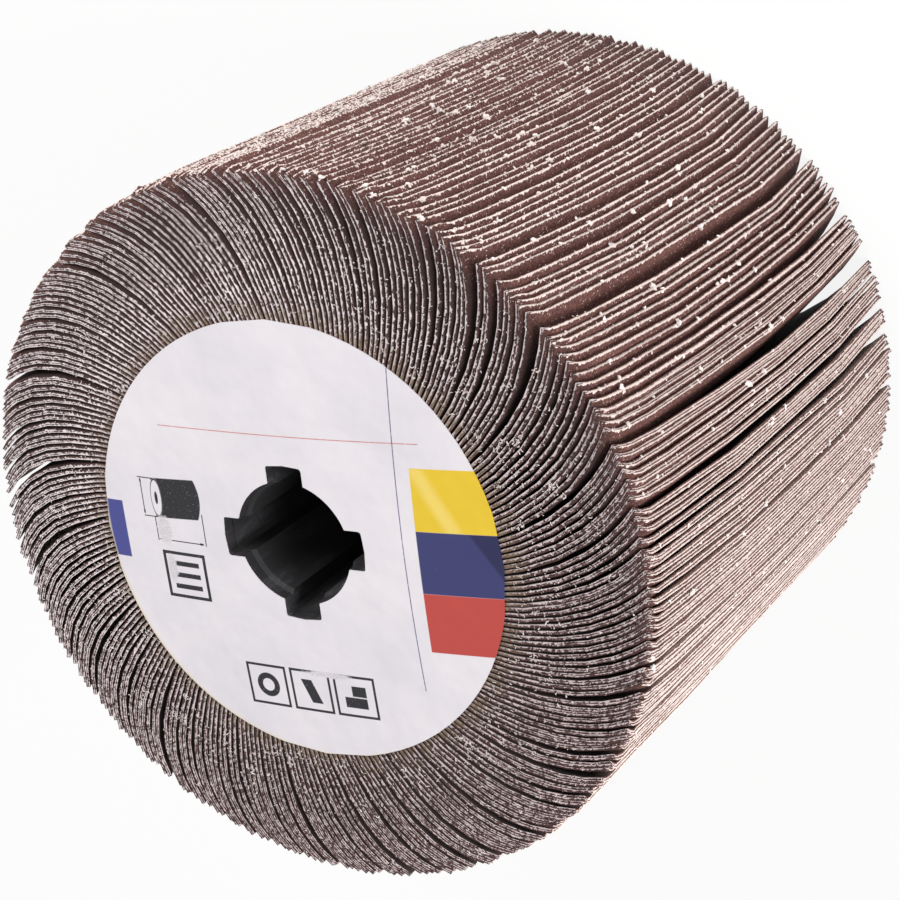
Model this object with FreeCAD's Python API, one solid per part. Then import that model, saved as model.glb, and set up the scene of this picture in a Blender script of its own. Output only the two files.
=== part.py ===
import FreeCAD, Part
import math
import os
import random

# Flap wheel for a hand-held satin finishing machine.
# The wheel stands on its rear end. Z runs along the spindle and points out of the labelled end.
# Millimetres and degrees throughout. Angles are counted from +X towards +Y.

# Driving dimensions of the wheel
wheel_length = 100.0
front_tip_radius = 58.7
rear_tip_radius = 59.3

# The drum has taken a slight lean in storage: its tips stand out more on one side
lean_side_angle = 30.0
front_lean_distance = 0.9
rear_lean_distance = 0.4
rear_flattening_depth = 0.9
rear_flattening_angle = 75.0

# Spindle bore with four keyways, moulded into the core
bore_diameter = 19.0
keyway_width = 5.8
keyway_reach = 12.3
keyway_corner_chamfer = 0.7
keyway_count = 4
keyway_turn_angle = -4.5

# Plastic core and the resin cast round it. The core's flat sides hold it from turning in the
# resin, and it sits a little off the middle, as cast.
core_diameter = 44.0
core_side_count = 6
core_offset_distance = 1.0
core_offset_angle = 192.0
resin_diameter = 64.0
bore_chamfer = 0.6

# End discs that close the core and the resin
end_disc_thickness = 1.7
disc_bore_clearance = 0.7
disc_keyway_clearance = 0.3

# Paper label on the front end
label_diameter = 72.8
label_thickness = 0.2
label_hole_clearance = 0.1
label_offset_distance = 0.5
label_offset_angle = 210.0

# Abrasive cloth flaps
flap_count = 264
flaps_per_bundle = 11
flap_thickness = 0.5
first_bend_radius = 41.0
second_bend_radius = 50.0
first_panel_sweep = 4.6
second_panel_sweep = 5.1
third_panel_sweep = 5.7

# Away from the lean the tips hook over: the third panel takes this much sweep from the other two
hook_sweep = 1.8

# The flaps bow back between the two ends of the wheel
bow_height = 40.0
bow_mean = 1.3
bow_variation = 0.9
rear_drift = 0.9

# Unevenness of single flaps, from one fixed seed
unevenness_seed = 11
tip_angle_unevenness = 0.14
tip_radius_unevenness = 0.25

# Flaps stand apart here: angle at the front rim, opening at the front end, opening at the rear end
squeeze_span = 5.0
rim_gaps = [
    (2.0, 0.9, 1.6),
    (7.0, 0.7, 1.1),
    (16.5, 1.2, 2.5),
    (24.0, 0.3, 0.9),
    (35.0, 2.0, 1.4),
    (43.5, 1.2, 0.8),
    (47.5, 1.0, 0.8),
    (55.0, 1.1, 0.7),
    (72.0, 0.7, 0.5),
    (90.0, 0.9, 0.7),
    (99.0, 0.9, 0.6),
    (111.0, 0.6, 0.5),
    (127.0, 1.0, 0.7),
    (153.0, 1.1, 0.8),
    (173.5, 2.1, 1.4),
    (187.5, 1.4, 1.0),
    (197.0, 0.5, 0.8),
    (211.0, 1.7, 1.2),
    (229.5, 1.1, 0.8),
    (238.0, 0.7, 0.6),
    (251.0, 0.8, 0.6),
    (264.0, 0.9, 0.7),
    (278.0, 0.8, 0.8),
    (284.0, 1.3, 1.0),
    (290.0, 0.9, 0.7),
    (295.5, 0.9, 0.8),
    (304.5, 1.3, 0.9),
    (314.0, 0.6, 0.6),
    (321.5, 1.2, 0.9),
    (326.0, 1.8, 1.1),
    (338.5, 0.6, 0.7),
    (352.5, 0.7, 1.2),
]

# Sizes that follow from the ones above
bore_radius = bore_diameter / 2
core_radius = core_diameter / 2
resin_radius = resin_diameter / 2
core_bottom = end_disc_thickness
core_top = wheel_length - end_disc_thickness
flap_pitch = 360.0 / flap_count
total_sweep = first_panel_sweep + second_panel_sweep + third_panel_sweep


def vector(x, y, z=0.0):
    return FreeCAD.Vector(x, y, z)


def polar(radius, angle, z=0.0):
    turn = math.radians(angle)
    return vector(radius * math.cos(turn), radius * math.sin(turn), z)


core_centre = polar(core_offset_distance, core_offset_angle)


def save(shape, name):
    shape.exportStep("parts/" + name + ".step")


def keyed_bore(radius, slot_width, slot_reach, bottom, top):
    """The round bore with its keyways, as one body to cut away."""
    height = top - bottom
    body = Part.makeCylinder(radius, height, vector(0, 0, bottom))
    for k in range(keyway_count):
        slot = Part.makeBox(slot_reach, slot_width, height, vector(0, -slot_width / 2, bottom))
        outer = [e for e in slot.Edges if is_outer_corner(e, slot_reach)]
        slot = slot.makeChamfer(keyway_corner_chamfer, outer)
        slot.rotate(vector(0, 0), vector(0, 0, 1), keyway_turn_angle + 360.0 * k / keyway_count)
        body = body.fuse(slot)
    body = body.removeSplitter()
    body.translate(core_centre)
    return body


def is_outer_corner(edge, reach):
    ends = [v.Point for v in edge.Vertexes]
    upright = abs(ends[0].x - ends[1].x) < 1e-6 and abs(ends[0].y - ends[1].y) < 1e-6
    return upright and abs(ends[0].x - reach) < 1e-6


def core_blank():
    """The core before it is bored: an upright prism between the two end discs."""
    turn = 360.0 / core_side_count
    corners = [polar(core_radius, k * turn, core_bottom) for k in range(core_side_count + 1)]
    blank = Part.Face(Part.makePolygon(corners)).extrude(vector(0, 0, core_top - core_bottom))
    blank.translate(core_centre)
    return blank


def make_core():
    core = core_blank().cut(keyed_bore(bore_radius, keyway_width, keyway_reach, 0, wheel_length))
    for end, direction in ((core_bottom, 1), (core_top, -1)):
        mouth = Part.makeCone(
            bore_radius + bore_chamfer,
            bore_radius,
            bore_chamfer,
            core_centre + vector(0, 0, end),
            vector(0, 0, direction),
        )
        core = core.cut(mouth)
    return core


def make_resin():
    casting = Part.makeCylinder(resin_radius, core_top - core_bottom, vector(0, 0, core_bottom))
    return casting.cut(core_blank())


def disc_hole(extra, bottom, top):
    return keyed_bore(
        bore_radius + disc_bore_clearance + extra,
        keyway_width + 2 * (disc_keyway_clearance + extra),
        keyway_reach + disc_keyway_clearance + extra,
        bottom,
        top,
    )


def make_disc(bottom):
    top = bottom + end_disc_thickness
    disc = Part.makeCylinder(resin_radius, end_disc_thickness, vector(0, 0, bottom))
    return disc.cut(disc_hole(0, bottom, top))


def make_label():
    centre = polar(label_offset_distance, label_offset_angle, wheel_length)
    sheet = Part.makeCylinder(label_diameter / 2, label_thickness, centre)
    return sheet.cut(disc_hole(label_hole_clearance, wheel_length, wheel_length + label_thickness))


def circular_difference(a, b):
    return (a - b + 180.0) % 360.0 - 180.0


def rim_shift(rim_angle, rear):
    """How far a flap's tip is pushed round by the gaps near it: flaps crowd together beside a gap."""
    shift = 0.0
    for gap_angle, front_opening, rear_opening in rim_gaps:
        opening = rear_opening if rear else front_opening
        away = circular_difference(rim_angle, gap_angle)
        if abs(away) < squeeze_span:
            shift += math.copysign(opening / 2 * (1 - abs(away) / squeeze_span), away)
    return shift


def tip_radius(angle, rear):
    side = math.cos(math.radians(angle - lean_side_angle))
    if not rear:
        return front_tip_radius + front_lean_distance * side
    pressed = math.cos(math.radians(2 * (angle - rear_flattening_angle)))
    return rear_tip_radius + rear_lean_distance * side - rear_flattening_depth * pressed


def flap_spine(root_angle, shift, radius, drift, hook):
    """Four points on the middle of one flap, from the resin to the tip, as radius and angle."""
    depth = radius - resin_radius
    spine = [(resin_radius, root_angle)]
    sweep = 0.0
    stations = (
        (first_bend_radius, first_panel_sweep - hook / 2),
        (second_bend_radius, second_panel_sweep - hook / 2),
        (radius, third_panel_sweep + hook),
    )
    for station, panel_sweep in stations:
        sweep += panel_sweep
        share = (station - resin_radius) / depth
        spine.append((station, root_angle + sweep + (shift - drift) * share))
    return spine


def flap_section(spine, z):
    """The flap's outline at one height: the spine thickened to both sides, its root flat on the resin."""
    middle = [polar(radius, angle) for radius, angle in spine]
    runs = [(b - a).normalize() for a, b in zip(middle, middle[1:])]
    sides = [vector(-run.y, run.x) for run in runs]
    root_turn = math.radians(spine[0][1])
    root_side = vector(-math.sin(root_turn), math.cos(root_turn))
    offsets = [root_side * (1 / root_side.dot(sides[0]))]
    for before, after in zip(sides, sides[1:]):
        joint = (before + after).normalize()
        offsets.append(joint * (1 / joint.dot(before)))
    offsets.append(sides[-1])
    half = flap_thickness / 2
    left = [p + o * half for p, o in zip(middle, offsets)]
    right = [p - o * half for p, o in zip(middle, offsets)]
    outline = left + right[::-1]
    return [vector(p.x, p.y, z) for p in outline]


def panel_faces(lower, upper):
    """Two flat triangles between an edge of one section and the same edge of the next.

    Both edges run away from the hub, so the folds on the two sides of a flap lie back to back.
    """
    a, b = lower
    c, d = upper
    return [
        Part.Face(Part.makePolygon([a, b, d, a])),
        Part.Face(Part.makePolygon([a, d, c, a])),
    ]


def make_flap(sections):
    faces = [
        Part.Face(Part.makePolygon(sections[0] + [sections[0][0]])),
        Part.Face(Part.makePolygon(sections[-1] + [sections[-1][0]])),
    ]
    count = len(sections[0])
    for low, high in zip(sections, sections[1:]):
        for k in range(count):
            n = (k + 1) % count
            near, far = (k, n) if k < count // 2 else (n, k)
            faces += panel_faces((low[near], low[far]), (high[near], high[far]))
    shell = Part.makeShell(faces)
    shell.sewShape()
    flap = Part.makeSolid(shell.Shells[0])
    if flap.Volume < 0:
        flap.reverse()
    return flap


def flap_sections(index, uneven):
    root_angle = index * flap_pitch
    rim_angle = root_angle + total_sweep
    facing = math.cos(math.radians(rim_angle - lean_side_angle))
    front_jitter, rear_jitter, length_jitter = uneven
    front_shift = rim_shift(rim_angle, False) + front_jitter
    rear_shift = rim_shift(rim_angle, True) + rear_jitter
    rear_turn = rear_drift * (1 + facing)
    bow = bow_mean + bow_variation * facing
    front_radius = tip_radius(rim_angle, False) + length_jitter
    rear_radius = tip_radius(rim_angle, True) + length_jitter
    up = bow_height / wheel_length
    bow_shift = rear_shift + (front_shift - rear_shift) * up
    bow_radius = rear_radius + (front_radius - rear_radius) * up
    bow_turn = rear_turn * (1 - up) + bow
    hook = hook_sweep * (1 - facing) / 2
    return [
        flap_section(flap_spine(root_angle, rear_shift, rear_radius, rear_turn, hook), 0),
        flap_section(flap_spine(root_angle, bow_shift, bow_radius, bow_turn, hook), bow_height),
        flap_section(flap_spine(root_angle, front_shift, front_radius, 0, hook), wheel_length),
    ]


def make_flaps():
    chance = random.Random(unevenness_seed)
    flaps = []
    for index in range(flap_count):
        uneven = (
            chance.uniform(-tip_angle_unevenness, tip_angle_unevenness),
            chance.uniform(-tip_angle_unevenness, tip_angle_unevenness),
            chance.uniform(-tip_radius_unevenness, tip_radius_unevenness),
        )
        flaps.append(make_flap(flap_sections(index, uneven)))
    return flaps


def main():
    os.makedirs("parts", exist_ok=True)
    save(make_core(), "hub_core")
    save(make_resin(), "resin_ring")
    save(make_disc(core_top), "front_disc")
    save(make_disc(0), "rear_disc")
    save(make_label(), "front_label")
    flaps = make_flaps()
    bundle_count = math.ceil(flap_count / flaps_per_bundle)
    for k in range(bundle_count):
        bundle = flaps[k * flaps_per_bundle : (k + 1) * flaps_per_bundle]
        save(Part.makeCompound(bundle), "flap_bundle_%02d" % (k + 1))


main()
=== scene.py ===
import logging
import math
import random
from dataclasses import dataclass, field
from enum import Enum
from functools import reduce
from typing import Callable, Iterable, Optional

import bpy
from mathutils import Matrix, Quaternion, Vector, noise


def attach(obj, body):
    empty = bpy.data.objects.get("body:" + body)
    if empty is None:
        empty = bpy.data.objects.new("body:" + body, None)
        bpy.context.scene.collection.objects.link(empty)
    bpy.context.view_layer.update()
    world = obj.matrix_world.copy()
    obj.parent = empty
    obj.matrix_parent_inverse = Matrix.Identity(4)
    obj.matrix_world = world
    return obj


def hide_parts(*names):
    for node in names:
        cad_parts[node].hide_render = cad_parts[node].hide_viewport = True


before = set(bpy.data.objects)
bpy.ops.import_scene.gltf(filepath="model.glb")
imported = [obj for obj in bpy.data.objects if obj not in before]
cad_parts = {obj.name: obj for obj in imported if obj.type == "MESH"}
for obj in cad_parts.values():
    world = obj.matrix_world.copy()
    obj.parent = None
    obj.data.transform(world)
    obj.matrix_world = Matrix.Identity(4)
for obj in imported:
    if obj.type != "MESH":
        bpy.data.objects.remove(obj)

# Flap wheel, dressed for its picture.
# The wheel stands on its rear end, with Z up the spindle. Metres in the scene, millimetres in
# the sizes below, degrees for angles, counted from +X towards +Y.

MM = 0.001
Colour = tuple[float, float, float]
Socket = bpy.types.NodeSocket
log = logging.getLogger("flap_wheel")


def srgb(red: float, green: float, blue: float) -> tuple[float, float, float, float]:
    """Turn a colour of 0 to 255, as a picture stores it, into the numbers a shader takes.

    Args:
        red: red share.
        green: green share.
        blue: blue share.

    Returns:
        The colour in linear light, with an alpha of 1.
    """
    def linear(share: float) -> float:
        """One channel in linear light."""
        part = share / 255.0
        return part / 12.92 if part <= 0.04045 else ((part + 0.055) / 1.055) ** 2.4

    return (linear(red), linear(green), linear(blue), 1.0)


def polar(radius: float, angle: float, height: float = 0.0) -> Vector:
    """A point from its radius, angle and height, all in millimetres and degrees."""
    turn = math.radians(angle)
    return Vector((radius * math.cos(turn), radius * math.sin(turn), height))


# Node trees

class Flow:
    """A number that runs along a shader socket, and takes part in Python arithmetic."""

    def __init__(self, tree: "Tree", socket: Socket) -> None:
        """Wrap a socket.

        Args:
            tree: the tree that the socket is in.
            socket: an output socket that gives a number.
        """
        self.tree = tree
        self.socket = socket

    def maths(self, operation: str, *values: object, clamp: bool = False) -> "Flow":
        """Add one Math node.

        Args:
            operation: the Math node's operation.
            values: the values or flows of its sockets, in order.
            clamp: whether the result is held between 0 and 1.

        Returns:
            The node's result.
        """
        settings = {"operation": operation, "use_clamp": clamp}
        made = self.tree.node("ShaderNodeMath", settings, dict(enumerate(values)))
        return Flow(self.tree, made.outputs[0])

    def __add__(self, other: object) -> "Flow":
        """This flow plus another."""
        return self.maths("ADD", self, other)

    def __radd__(self, other: object) -> "Flow":
        """Another value plus this flow."""
        return self.maths("ADD", other, self)

    def __sub__(self, other: object) -> "Flow":
        """This flow less another."""
        return self.maths("SUBTRACT", self, other)

    def __rsub__(self, other: object) -> "Flow":
        """Another value less this flow."""
        return self.maths("SUBTRACT", other, self)

    def __mul__(self, other: object) -> "Flow":
        """This flow times another."""
        return self.maths("MULTIPLY", self, other)

    def __rmul__(self, other: object) -> "Flow":
        """Another value times this flow."""
        return self.maths("MULTIPLY", other, self)

    def __truediv__(self, other: object) -> "Flow":
        """This flow over another."""
        return self.maths("DIVIDE", self, other)

    def __abs__(self) -> "Flow":
        """This flow without its sign."""
        return self.maths("ABSOLUTE", self)

    def sine(self) -> "Flow":
        """The sine of this flow, taken in radians."""
        return self.maths("SINE", self)

    def fract(self) -> "Flow":
        """What is left of this flow above the whole number below it."""
        return self.maths("FRACT", self)

    def hypot(self, other: "Flow") -> "Flow":
        """The length of the vector that this flow and another make."""
        return self.maths("SQRT", self * self + other * other)

    def above(self, edge: float, soft: float) -> "Flow":
        """A mask that turns from 0 to 1 as this flow passes an edge.

        Args:
            edge: the value at which the mask is one half.
            soft: the width of the turn.

        Returns:
            The mask, between 0 and 1.
        """
        return self.maths("MULTIPLY_ADD", self, 1.0 / soft, 0.5 - edge / soft, clamp=True)

    def below(self, edge: float, soft: float) -> "Flow":
        """A mask that turns from 1 to 0 as this flow passes an edge.

        Args:
            edge: the value at which the mask is one half.
            soft: the width of the turn.

        Returns:
            The mask, between 0 and 1.
        """
        return self.maths("MULTIPLY_ADD", self, -1.0 / soft, 0.5 + edge / soft, clamp=True)

    def between(self, low: float, high: float, soft: float) -> "Flow":
        """A mask that is 1 while this flow is between two edges.

        Args:
            low: the lower edge.
            high: the upper edge.
            soft: the width of each turn.

        Returns:
            The mask, between 0 and 1.
        """
        return self.above(low, soft) * self.below(high, soft)

    def either(self, other: "Flow") -> "Flow":
        """The larger of two masks."""
        return self.maths("MAXIMUM", self, other)


class Tree:
    """A node tree while it is being built, for shaders and for geometry."""

    def __init__(self, tree: bpy.types.NodeTree) -> None:
        """Start from an empty tree.

        Args:
            tree: the tree to fill; what it holds is cleared.
        """
        self.tree = tree
        self.tree.nodes.clear()

    def node(
        self,
        kind: str,
        settings: Optional[dict[str, object]] = None,
        inputs: Optional[dict[object, object]] = None,
    ) -> bpy.types.Node:
        """Add a node of any kind.

        Args:
            kind: the node's type.
            settings: the node's own settings, set first.
            inputs: the values or links of its sockets, by name or place.

        Returns:
            The node.
        """
        made = self.tree.nodes.new(kind)
        for name, value in (settings or {}).items():
            setattr(made, name, value)
        for key, value in (inputs or {}).items():
            self.feed(made.inputs[key], value)
        return made

    def feed(self, socket: Socket, value: object) -> None:
        """Give a socket its value, or link what it takes.

        Args:
            socket: the socket to feed.
            value: a plain value, a flow, a socket, or a list of sockets to join.
        """
        if isinstance(value, list):
            for part in value:
                self.feed(socket, part)
        elif isinstance(value, Flow):
            self.tree.links.new(value.socket, socket)
        elif isinstance(value, Socket):
            self.tree.links.new(value, socket)
        else:
            socket.default_value = value


class ShaderTree(Tree):
    """The nodes of one material."""

    def __init__(self, name: str) -> None:
        """Make the material.

        Args:
            name: the material's name.
        """
        self.material = bpy.data.materials.new(name)
        self.material.use_nodes = True
        super().__init__(self.material.node_tree)
        self.place = self.node("ShaderNodeTexCoord").outputs["Object"]

    def axes(self) -> tuple[Flow, Flow, Flow]:
        """The point's X, Y and Z in millimetres."""
        parts = self.node("ShaderNodeSeparateXYZ", {}, {0: self.place}).outputs
        return tuple(Flow(self, part) * (1 / MM) for part in parts)

    def attribute(self, name: str) -> Flow:
        """A number that the piece carries at each point."""
        return Flow(self, self.node("ShaderNodeAttribute", {"attribute_name": name}).outputs["Fac"])

    def stretched(self, across: float, along: float) -> Socket:
        """Object coordinates scaled across and along the wheel's axis.

        Args:
            across: the scale of X and Y.
            along: the scale of Z.

        Returns:
            The scaled coordinates.
        """
        inputs = {0: self.place, "Scale": (across, across, along)}
        return self.node("ShaderNodeMapping", {}, inputs).outputs[0]

    def noise(
        self,
        size: float,
        detail: float = 2.0,
        roughness: float = 0.5,
        place: Optional[Socket] = None,
    ) -> Flow:
        """Soft noise with blots of a given size.

        Args:
            size: the size of a blot in millimetres.
            detail: how many finer layers it has.
            roughness: how strong the finer layers are.
            place: coordinates in metres, when they aren't the plain ones.

        Returns:
            The noise, about 0.5 on average.
        """
        inputs = {
            "Vector": place or self.place,
            "Scale": 1.0 / (size * MM),
            "Detail": detail,
            "Roughness": roughness,
        }
        return Flow(self, self.node("ShaderNodeTexNoise", {}, inputs).outputs["Fac"])

    def grains(self, size: float) -> tuple[Flow, Flow]:
        """Grains packed side by side.

        Args:
            size: the distance between grains in millimetres.

        Returns:
            The distance from the nearest grain's middle, and a number of its own for each grain.
        """
        inputs = {"Vector": self.place, "Scale": 1.0 / (size * MM)}
        made = self.node("ShaderNodeTexVoronoi", {}, inputs)
        own = self.node("ShaderNodeSeparateColor", {}, {0: made.outputs["Color"]}).outputs[0]
        return Flow(self, made.outputs["Distance"]), Flow(self, own)

    def mix(self, share: object, first: object, second: object) -> Socket:
        """Mix two colours.

        Args:
            share: how much of the second colour there is.
            first: the first colour, as a socket or as three numbers of 0 to 255.
            second: the second colour, given in the same way.

        Returns:
            The mixed colour's socket.
        """
        first, second = (srgb(*part) if isinstance(part, tuple) else part for part in (first, second))
        inputs = {0: share, 6: first, 7: second}
        return self.node("ShaderNodeMix", {"data_type": "RGBA"}, inputs).outputs[2]

    def bump(self, height: object, depth: float, under: object = None) -> Socket:
        """Raise the surface by a height.

        Args:
            height: the height, from 0 to 1.
            depth: the depth that a height of 1 stands for, in millimetres.
            under: the normal of an earlier bump.

        Returns:
            The bumped normal.
        """
        inputs: dict[object, object] = {"Height": height, "Distance": depth * MM, "Strength": 1.0}
        if under is not None:
            inputs["Normal"] = under
        return self.node("ShaderNodeBump", {}, inputs).outputs[0]

    def finish(
        self,
        colour: object,
        roughness: object,
        normal: object = None,
        extra: Optional[dict[str, object]] = None,
    ) -> bpy.types.Material:
        """Close the material with one surface shader.

        Args:
            colour: the base colour.
            roughness: the roughness.
            normal: the bumped normal.
            extra: values of other sockets.

        Returns:
            The material.
        """
        inputs: dict[object, object] = {"Base Color": colour, "Roughness": roughness}
        inputs.update(extra or {})
        if normal is not None:
            inputs["Normal"] = normal
        shader = self.node("ShaderNodeBsdfPrincipled", {}, inputs)
        self.node("ShaderNodeOutputMaterial", {}, {"Surface": shader.outputs[0]})
        return self.material


class GeometryTree(Tree):
    """A Geometry Nodes tree with named inputs."""

    def __init__(self, name: str, values: dict[str, object]) -> None:
        """Make the tree.

        Args:
            name: the tree's name.
            values: the value of each named input, after the geometry itself.
        """
        super().__init__(bpy.data.node_groups.new(name, "GeometryNodeTree"))
        self.values: dict[str, object] = {}
        for side in ("INPUT", "OUTPUT"):
            self.tree.interface.new_socket("Geometry", in_out=side, socket_type="NodeSocketGeometry")
        for label, value in values.items():
            kind = self._kind(value)
            made = self.tree.interface.new_socket(label, in_out="INPUT", socket_type=kind)
            self.values[made.identifier] = value
        self.given = self.node("NodeGroupInput").outputs

    def _kind(self, value: object) -> str:
        """The kind of socket that takes a value.

        Args:
            value: the value.

        Returns:
            The type of the socket.
        """
        if isinstance(value, bpy.types.Material):
            return "NodeSocketMaterial"
        return "NodeSocketInt" if isinstance(value, int) else "NodeSocketFloat"

    def join(self, *parts: Socket) -> Socket:
        """Put several geometries together."""
        return self.node("GeometryNodeJoinGeometry", {}, {0: list(parts)}).outputs[0]

    def maths(self, operation: str, *values: object) -> Socket:
        """One Math node's result."""
        made = self.node("ShaderNodeMath", {"operation": operation}, dict(enumerate(values)))
        return made.outputs[0]

    def vector(self, operation: str, inputs: dict[object, object]) -> Socket:
        """One Vector Math node's result."""
        return self.node("ShaderNodeVectorMath", {"operation": operation}, inputs).outputs[0]

    def carried(self, name: str) -> Socket:
        """A number that the mesh carries at each point."""
        made = self.node("GeometryNodeInputNamedAttribute", {"data_type": "FLOAT"}, {"Name": name})
        return made.outputs[0]

    def roughened(self, shape: Socket, scale: object, detail: float, depth: object) -> Socket:
        """Push the points of a mesh about by noise.

        Args:
            shape: the mesh.
            scale: the noise's scale.
            detail: how many finer layers the noise has.
            depth: how far it pushes, over the noise's whole span.

        Returns:
            The pushed mesh.
        """
        rough = self.node("ShaderNodeTexNoise", {}, {"Scale": scale, "Detail": detail}).outputs["Color"]
        rough = self.vector("SUBTRACT", {0: rough, 1: (0.5, 0.5, 0.5)})
        offset = self.vector("SCALE", {0: rough, "Scale": depth})
        inputs = {"Geometry": shape, "Offset": offset}
        return self.node("GeometryNodeSetPosition", {}, inputs).outputs[0]

    def random_value(self, kind: str, inputs: dict[object, object], place: int) -> Socket:
        """A random value from the tree's own seed.

        Args:
            kind: whether it is a number or a vector.
            inputs: its least and its greatest value.
            place: which output holds it.

        Returns:
            The value.
        """
        inputs["Seed"] = self.given["Seed"]
        return self.node("FunctionNodeRandomValue", {"data_type": kind}, inputs).outputs[place]

    def close(self, shape: Socket, paints: Iterable[tuple[object, object]]) -> None:
        """End the tree: real meshes, then their materials.

        Args:
            shape: the finished shape.
            paints: which faces get which material.
        """
        shape = self.node("GeometryNodeRealizeInstances", {}, {0: shape}).outputs[0]
        for faces, material in paints:
            inputs = {"Geometry": shape, "Selection": faces, "Material": material}
            shape = self.node("GeometryNodeSetMaterial", {}, inputs).outputs[0]
        self.node("NodeGroupOutput", {}, {0: shape})

    def grow(self, guide: bpy.types.Object, name: str) -> bpy.types.Object:
        """Run the tree on a guide, and keep the result as a plain mesh.

        Args:
            guide: the object that the tree works on; it is removed.
            name: the new piece's name.

        Returns:
            The new piece.
        """
        modifier = guide.modifiers.new("grow", "NODES")
        modifier.node_group = self.tree
        for identifier, value in self.values.items():
            modifier[identifier] = value
        bpy.context.view_layer.update()
        graph = bpy.context.evaluated_depsgraph_get()
        mesh = bpy.data.meshes.new_from_object(
            guide.evaluated_get(graph), preserve_all_data_layers=True, depsgraph=graph
        )
        guide.modifiers.remove(modifier)
        bpy.data.objects.remove(guide)
        mesh.name = name
        return placed(name, mesh)


def placed(name: str, mesh: bpy.types.Mesh) -> bpy.types.Object:
    """Put a mesh into the scene as an object at the origin.

    Args:
        name: the object's name.
        mesh: its mesh, or the data of a camera or a lamp.

    Returns:
        The object.
    """
    piece = bpy.data.objects.new(name, mesh)
    bpy.context.scene.collection.objects.link(piece)
    return piece


def mesh_of(
    name: str,
    points: list[Vector],
    faces: list[tuple[int, ...]],
    numbers: Optional[dict[str, list[float]]] = None,
) -> bpy.types.Mesh:
    """Make a mesh from points in millimetres.

    Args:
        name: the mesh's name.
        points: the points.
        faces: the faces, as places in the list of points.
        numbers: numbers that the mesh carries at each point, by name.

    Returns:
        The mesh, in metres.
    """
    mesh = bpy.data.meshes.new(name)
    mesh.from_pydata([point * MM for point in points], [], faces)
    for label, values in (numbers or {}).items():
        mesh.attributes.new(label, "FLOAT", "POINT").data.foreach_set("value", values)
    mesh.update()
    return mesh


# Finishes

@dataclass(frozen=True)
class GrainFinish:
    """The grain coat on the outer face of a flap: dark red-brown grit, with painted highlights on some
    grains and painted shade deeper in the gaps and near the front end.
    """

    coat: Colour = (98, 56, 50)
    speckle: Colour = (48, 27, 26)
    # painted shade, laid on the grit deeper in the gaps between flaps and near the front end
    deep: Colour = (32, 19, 19)
    dust: Colour = (132, 90, 82)
    # painted highlight on single grains
    glint: Colour = (222, 200, 190)
    fluff: Colour = (232, 215, 209)
    bristle: float = 0.24
    tuft: float = 0.24
    grit: float = 0.27
    glint_share: float = 0.935
    # where the painted shade begins, in millimetres from the tip, and how much sooner it begins at the
    # front end
    shade_from: float = 7.0
    end_shade: float = 6.0

    def material(self) -> bpy.types.Material:
        """The finish as a material.

        Returns:
            The material.
        """
        tree = ShaderTree("grain_coat")
        distance, own = tree.grains(self.grit)
        blots = tree.noise(12.0, 3.0)
        fine = tree.noise(0.3, 2.0, 0.7)
        colour = tree.mix(fine.above(0.46, 0.2), self.speckle, self.coat)
        colour = tree.mix(blots.above(0.58, 0.25) * 0.2, colour, self.dust)
        colour = tree.mix(own.above(0.75, 0.3) * 0.6, colour, self.dust)
        # Painted shade: the grit darkens deeper into the gaps between flaps, and sooner near the front
        # end.
        from_tip = tree.attribute("from_tip")
        _, _, z = tree.axes()
        depth = from_tip + z.above(97.0, 5.0) * self.end_shade
        colour = tree.mix(depth.above(self.shade_from, 6.0) * 0.85, colour, self.deep)
        # Painted highlights: pale, shinier glints on a few grains, left out where the painted shade lies.
        glints = own.above(self.glint_share, 0.01) * distance.below(0.36, 0.2)
        glints = glints * depth.below(self.shade_from, 6.0)
        colour = tree.mix(glints, colour, self.glint)
        reach = (tree.noise(0.4, 2.0, 0.7, tree.stretched(0.2, 1.0)) - 0.4) * (self.bristle / 0.3)
        reach = reach + tree.noise(0.9, 1.0).above(0.64, 0.14) * self.tuft
        bristles = (reach - from_tip).above(0.0, 0.05)
        colour = tree.mix(bristles, colour, self.fluff)
        rough = 0.92 - 0.35 * glints
        height = (1.0 - distance) * 0.6 + fine * 0.4
        return tree.finish(colour, rough, tree.bump(height, 0.12))


@dataclass(frozen=True)
class ClothFinish:
    """The woven backing on the inner face of a flap: dark with size, with painted shade deeper in the gaps
    and near the front end, paler where it is worn.
    """

    thread: Colour = (84, 66, 62)
    shade: Colour = (42, 32, 32)
    # painted shade, laid on the backing deeper in the gaps between flaps and near the front end
    deep: Colour = (36, 27, 27)
    worn: Colour = (206, 190, 181)
    worn_reach: float = 3.2
    # where the painted shade begins, in millimetres from the tip
    shade_from: float = 5.0
    thread_pitch: float = 0.5

    def material(self) -> bpy.types.Material:
        """The finish as a material.

        Returns:
            The material.
        """
        tree = ShaderTree("cloth_backing")
        x, y, z = tree.axes()
        turn = 2 * math.pi / self.thread_pitch
        weft = (z * turn).sine()
        warp = (x.hypot(y) * turn).sine()
        weave = (weft * warp).above(0.0, 1.6)
        soil = tree.noise(6.0, 4.0, 0.6)
        colour = tree.mix(weave * 0.4, self.thread, self.shade)
        colour = tree.mix(soil.above(0.5, 0.35) * 0.5, colour, self.shade)
        # Painted shade: the backing darkens deeper into the gaps between flaps, and sooner near the front
        # end.
        from_tip = tree.attribute("from_tip")
        depth = from_tip + z.above(94.0, 9.0) * self.shade_from
        colour = tree.mix(depth.above(self.shade_from, 4.0) * 0.85, colour, self.deep)
        worn = (from_tip + (soil - 0.5) * 2.0).below(self.worn_reach, 2.4) * z.below(94.0, 6.0)
        colour = tree.mix(worn * 0.85, colour, self.worn)
        return tree.finish(colour, 0.95, tree.bump(weave + tree.noise(0.3), 0.06))


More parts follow.
